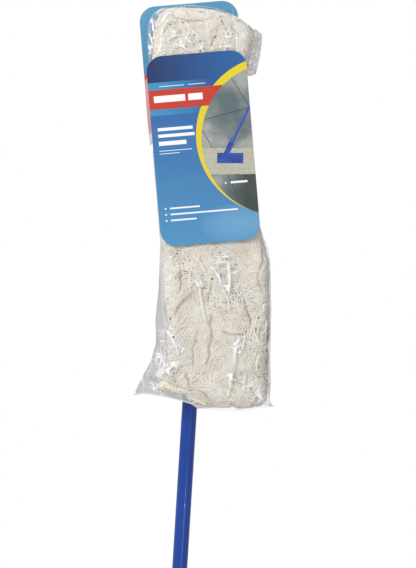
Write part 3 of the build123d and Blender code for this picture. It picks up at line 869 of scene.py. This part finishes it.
def edge_share(x, left, right, yarn_left):
    """1 where the film lies flat over the pad, falling to 0 at its folded sides."""
    fin = np.clip((yarn_left - left - 6.0) / 40.0, 0, 1)
    near_left = np.clip((x - left) / (SIDE_ROUND + np.maximum(yarn_left - left, 0)), 0, 1)
    near_right = np.clip((right - x) / SIDE_ROUND, 0, 1)
    round_left = np.sqrt(np.maximum(1 - (1 - near_left) ** 2, 0))
    left_share = (1 - fin) * round_left + fin * (0.05 * near_left + 0.95 * smooth(near_left) ** 1.3)
    return left_share * np.sqrt(np.maximum(1 - (1 - near_right) ** 2, 0))


def make_bag(material):
    rows, front_columns, side_columns = 400, 150, 46
    z0 = np.linspace(*FILM_Z, rows)
    left, right = curve_at(FILM_LEFT, z0), curve_at(FILM_RIGHT, z0)
    slot = SLOT_HALF * smooth((SLOT_TOP - z0) / 24.0)
    share = (1 - np.cos(np.linspace(0, math.pi, front_columns))) / 2
    front_x = left[:, None] + (right - left)[:, None] * share[None, :]
    back_share = (1 - np.cos(np.linspace(0, math.pi, 2 * side_columns + 1))) / 2
    slit_right, slit_left = slot - PACK_X, -slot - PACK_X
    first = right[:, None] + (slit_right - right)[:, None] * back_share[None, :side_columns + 1] * 2
    last = slit_left[:, None] + (left - slit_left)[:, None] * (back_share[None, side_columns:] * 2 - 1)
    x = np.concatenate([first[:, ::-1], front_x[:, ::-1][:, 1:-1], last[:, ::-1]], axis=1)
    columns = x.shape[1]
    is_front = np.zeros(columns, bool)
    is_front[side_columns + 1:side_columns + 1 + front_columns - 2] = True
    zz = np.repeat(z0[:, None], columns, axis=1)
    fall = smooth((-180.0 - zz) / 140.0)
    zz = zz + (curve_at(MOUTH, x) - FILM_Z[0]) * fall
    yarn_left = curve_at(YARN_LEFT, z0)[:, None]
    flat = edge_share(x, left[:, None], right[:, None], yarn_left)
    past_top = np.clip(z0 - 306.0, 0, TOP_ROUND) / TOP_ROUND
    top = np.sqrt(np.maximum(1 - past_top ** 2, 0))[:, None] ** 0.7
    mouth_close = 1 - 0.35 * smooth((-296.0 - z0) / 24.0)[:, None]
    puff = PUFF * smooth((PUFF_Z - zz) / 26.0)
    depth = np.where(is_front[None, :], FILM_MIDDLE - FILM_FRONT + puff, FILM_BACK - FILM_MIDDLE)
    # bump is the creases' height, white their painted highlight
    bump, white = crease_fields(x, zz)
    under_card = smooth((zz + 66.0) / 8.0) * smooth((246.0 - zz) / 6.0)
    room = 0.35 + 0.65 * smooth((PUFF_Z - zz) / 20.0)
    crumple = (0.55 * noise2(x, zz, 17.0, 51) + 0.75 * (ridge(x + 0.4 * zz, zz, 24.0, 52) ** 3 - 0.35)
               + 0.35 * (ridge(x - 0.5 * zz, zz * 0.6, 10.0, 53) ** 4 - 0.2))
    out = (bump * (1 - 0.8 * under_card) * room + crumple * room) * (1 - under_card)
    sign = np.where(is_front[None, :], -1.0, 1.0)
    relief = np.where(is_front[None, :], out, np.minimum(0.5 * crumple, 0.3) - 0.4)
    y = FILM_MIDDLE + sign * (depth * flat * top * mouth_close + relief * np.minimum(flat * 3, 1) * top)
    wave = noise2(x, zz, 22.0, 61) * 3.2 + noise2(x, zz, 9.0, 62) * 1.2
    y = y + wave * (1 - np.minimum(flat * 1.6, 1)) * top
    points = np.stack([x, y, zz], -1).reshape(-1, 3)
    bag = mesh_piece("bag", to_row(points), grid_faces(rows, columns), [material])
    hem = np.exp(-(((zz - curve_at(MOUTH, x)) - 1.2) / 1.3) ** 2) * 0.5
    # painted glints: sharp noise crests that whiten the film at random, not under the card
    scattered_glints = np.clip(ridge(x, zz, 9.0, 55) ** 9 * 0.55 * (0.4 + noise2(x, zz, 34.0, 56)), 0, 1)
    scattered_glints = scattered_glints * (1 - under_card)
    crinkle_glints = crinkle_glint_field(x, zz) * (1 - under_card)
    # painted highlights: crease and crinkle glints on the front, fainter crinkle glints on the back, with
    # the hem line
    highlight_and_hem = np.where(is_front[None, :], np.maximum(white, crinkle_glints), 0.5 * crinkle_glints)
    highlight_and_hem = np.clip(np.maximum(highlight_and_hem, np.maximum(hem, scattered_glints)), 0, 1)
    paint(bag, "highlight_and_hem", highlight_and_hem.ravel())
    below_sleeve = smooth((-20.0 - zz) / 40.0)
    yarn_right = curve_at(YARN_RIGHT, z0)[:, None]
    unbacked = smooth((yarn_left - x - 1.0) / 6.0) + smooth((x - yarn_right - 2.0) / 6.0)
    folded = 0.35 * (1 - np.minimum(flat * 1.4, 1))
    paint(bag, "double", np.maximum(folded, unbacked * below_sleeve).ravel())
    weld(bag)
    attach(bag, "bag")
    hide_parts("bag_film")


def weld(obj):
    """Joins points that coincide, as where the slit ends and the sides meet."""
    bm = bmesh.new()
    bm.from_mesh(obj.data)
    bmesh.ops.remove_doubles(bm, verts=bm.verts, dist=0.00002)
    bm.to_mesh(obj.data)
    bm.free()


def make_bag_end(material):
    """The film past the sleeve's right edge: over the yarn's shoulder, then gathered flat and crumpled."""
    rows, columns = 150, 110
    s, t = np.meshgrid(np.linspace(0, 1, columns), np.linspace(0, 1, rows))
    z = END_Z[0] + (END_Z[1] - END_Z[0]) * t
    edge = np.maximum(curve_at(END_RIGHT, z), END_ROOT + 1.0)
    x = END_ROOT + (edge - END_ROOT) * s
    yarn = curve_at(SHOULDER_RIGHT, z)
    over = np.clip((yarn + 3.0 - x) / 20.0, 0, 1)
    swell = np.sqrt(np.maximum(1 - (1 - over) ** 2, 0))
    close = smooth((z - END_Z[0]) / 16.0) * smooth((END_Z[1] + 3.0 - z) / 16.0)
    outer = np.clip((edge - x) / 3.0, 0, 1)
    thick = (2.6 * (1 - over) + 26.5 * swell) * np.maximum(close, 0.12) * outer
    folds = 2.8 * np.sin(0.36 * z + 2.2 * noise2(x, z, 13.0, 71))
    folds = folds + 1.8 * (ridge(x + 0.5 * z, z, 9.0, 72) ** 3 - 0.4)
    folds = folds + 0.7 * noise2(x, z, 6.0, 73)
    loose = 1 - 0.8 * over
    small = 0.8 * (ridge(x, z, 12.0, 74) ** 3 - 0.4) * np.minimum(3 * outer, 1)
    middle = FILM_MIDDLE + folds * loose
    front, back = (np.stack([x, middle + side * thick + small, z], -1) for side in (-1, 1))
    ring = np.concatenate([front, back[:, ::-1]], axis=1)
    points = ring.reshape(-1, 3)
    end = mesh_piece("bag_end", to_row(points), grid_faces(rows, 2 * columns), [material])
    # painted highlights along the crests of the gathered folds, fainter on the back
    crest_glint = np.clip(ridge(x + 0.5 * z, z, 9.0, 72) ** 7 + 0.5 * ridge(x, 0.4 * z, 6.0, 75) ** 10, 0, 1)
    crest_glint = crest_glint * (0.35 + 0.65 * loose)
    double = 0.12 + 0.75 * smooth((x - yarn + 6.0) / 12.0)
    paint(end, "highlight_and_hem", (0.7 * np.concatenate([crest_glint, 0.3 * crest_glint[:, ::-1]], axis=1)).ravel())
    paint(end, "double", np.concatenate([double, 0.5 * double[:, ::-1]], axis=1).ravel())
    weld(end)
    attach(end, "bag")
    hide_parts("bag_tail")
    fold_at(end)


# ---- Sleeve ----
def make_gusset(side, material):
    """A card strap from the front card's edge to the rear card's, bowed outwards."""
    node = "left_gusset" if side < 0 else "right_gusset"
    rows, columns = 41, 33
    t, s = np.meshgrid(np.linspace(0, 1, rows), np.linspace(0, 1, columns), indexing="ij")
    z = STRAP_Z[0] + (STRAP_Z[1] - STRAP_Z[0]) * t
    low, high = FRONT_CARD_FACE + 0.4, REAR_CARD_FACE - 0.4
    y = low + (high - low) * s
    bow = STRAP_BOW[0 if side < 0 else 1] * np.sin(math.pi * s) * np.sin(math.pi * (0.12 + 0.8 * t)) ** 0.7
    near, far = side * (CARD_HALF - 0.3), REAR_CARD_EDGES[0 if side < 0 else 1] - side * 0.3
    x = near + (far - near) * s + side * bow
    points = np.stack([x, y, z], -1).reshape(-1, 3)
    strap = mesh_piece(f"{node}_strap", to_row(points), grid_faces(rows, columns), [material])
    add_thickness(strap, CARD_THICK)
    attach(strap, "sleeve")
    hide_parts(node)


# ---- Camera, floor and light ----
VIEW_HEIGHT = 0.909        # what the picture shows from top to bottom, at the pad's face
TARGET_BELOW_ORIGIN = 0.1264
TARGET_Y = -0.070
HANDLE_ROLL = math.radians(3.5)
LENS_MM = 100.0
SENSOR_MM = 36.0
FLOOR_SIDES = 96
FLOOR_RADIUS = 0.75
WORLD_LIT = 0.52
PAD_PLACE = (0, 0, 0.85)
# name, place, aim, (width, height), watts
LIGHTS = (
    ("key", (-1.5, -1.9, 2.0), PAD_PLACE, (0.7, 1.4), 55),
    ("fill", (1.9, -2.0, 1.1), PAD_PLACE, (1.0, 1.8), 1.0),
    ("strip", (0.8, -2.1, -0.4), (0, 0, -0.4), (0.03, 1.1), 8),
    ("back", (0.6, 2.0, 1.8), PAD_PLACE, (1.6, 1.6), 22),
)


def make_camera():
    up = Vector((-math.sin(HANDLE_ROLL), 0, math.cos(HANDLE_ROLL)))
    right = Vector((math.cos(HANDLE_ROLL), 0, math.sin(HANDLE_ROLL)))
    target = Vector(ORIGIN) - up * TARGET_BELOW_ORIGIN
    target.y = TARGET_Y
    data = bpy.data.cameras.new("camera")
    data.lens, data.sensor_width = LENS_MM, SENSOR_MM
    camera = bpy.data.objects.new("camera", data)
    bpy.context.scene.collection.objects.link(camera)
    distance = VIEW_HEIGHT * LENS_MM / SENSOR_MM
    basis = Matrix((right, up, Vector((0, -1, 0)))).transposed().to_4x4()
    camera.matrix_world = Matrix.Translation(target + Vector((0, -distance, 0))) @ basis
    bpy.context.scene.camera = camera


def make_floor():
    turn = 2 * math.pi / FLOOR_SIDES
    ring = [(FLOOR_RADIUS * math.cos(turn * i), FLOOR_RADIUS * math.sin(turn * i), 0.0)
            for i in range(FLOOR_SIDES)]
    m = Nodes("floor_paint")
    colour = m.ramp(m.noise(3.0, 3.0), ((0.3, (0.8, 0.8, 0.8)), (0.7, (0.84, 0.84, 0.84))))
    m.set(Base_Color=colour, Roughness=0.7)
    floor = mesh_piece("floor", ring, [list(range(FLOOR_SIDES))], [m.material], smooth_faces=False)


def area_light(name, place, aim, size, power):
    data = bpy.data.lights.new(name, "AREA")
    data.shape, data.size, data.size_y = "RECTANGLE", size[0], size[1]
    data.energy = power
    light = bpy.data.objects.new(name, data)
    light.location = place
    light.rotation_euler = (Vector(aim) - Vector(place)).to_track_quat("-Z", "Y").to_euler()
    bpy.context.scene.collection.objects.link(light)


def make_light():
    world = bpy.data.worlds.new("studio")
    bpy.context.scene.world = world
    world.use_nodes = True
    tree = world.node_tree
    tree.nodes.clear()
    output = tree.nodes.new("ShaderNodeOutputWorld")
    seen = tree.nodes.new("ShaderNodeBackground")
    lit = tree.nodes.new("ShaderNodeBackground")
    seen.inputs[0].default_value = (1, 1, 1, 1)
    seen.inputs[1].default_value = 1.0
    lit.inputs[0].default_value = (1, 1, 1, 1)
    lit.inputs[1].default_value = WORLD_LIT
    path = tree.nodes.new("ShaderNodeLightPath")
    blend = tree.nodes.new("ShaderNodeMixShader")
    tree.links.new(path.outputs["Is Camera Ray"], blend.inputs[0])
    tree.links.new(lit.outputs[0], blend.inputs[1])
    tree.links.new(seen.outputs[0], blend.inputs[2])
    tree.links.new(blend.outputs[0], output.inputs[0])
    for light in LIGHTS:
        area_light(*light)
    bpy.context.scene.view_settings.view_transform = "Standard"
    bpy.context.scene.view_settings.look = "None"


# ---- Everything ----
make_camera()
make_floor()
make_light()

yarn = yarn_material()
canvas = canvas_material()
film = film_material("clear_film", 0.045, (0.62, 0.62, 0.63))
film_end = film_material("gathered_film", 0.1, (0.78, 0.765, 0.77))
gusset = gusset_material()

make_core(yarn)
make_strands(yarn)
make_shoulder(yarn)
make_canvas(canvas)
make_pocket(1, canvas)
make_pocket(-1, canvas)
make_bag(film)
make_bag_end(film_end)
make_gusset(-1, gusset)
make_gusset(1, gusset)

blue_plastic = plastic_material("blue_moulding", (0.012, 0.06, 0.36), (0.02, 0.085, 0.44), 0.28, 900.0)
grip_plastic = plastic_material("grip_moulding", (0.012, 0.03, 0.15), (0.02, 0.045, 0.2), 0.5, 1400.0)
pale_plastic = plastic_material("pale_moulding", (0.62, 0.62, 0.6), (0.72, 0.72, 0.69), 0.4, 900.0)
zinc = steel_material("zinc_steel", (0.5, 0.5, 0.5), (0.66, 0.66, 0.64), 0.25)
bare = steel_material("bare_tube_steel", (0.55, 0.56, 0.58), (0.7, 0.71, 0.73), 0.2)
CAD_MATERIALS = {
    "upper_tube": bare, "grip": grip_plastic, "end_cap": grip_plastic, "guide_plug": pale_plastic,
    "lower_tube": blue_tube_material(), "collet": pale_plastic, "socket_fork": blue_plastic,
    "socket_screw": zinc,
    "roll_pin": zinc, "lock_nut": grip_plastic, "yoke_block": blue_plastic, "tilt_pin": zinc,
    "frame_plate": blue_plastic, "clamp_plate": blue_plastic, "plate_screws": zinc, "wire_upper": zinc,
    "wire_lower": zinc, "front_card": front_card_material(), "rear_card": rear_card_material(),
}
for node, material in CAD_MATERIALS.items():
    slots = frame["nodes"][node].data.materials
    slots.clear()
    slots.append(material)
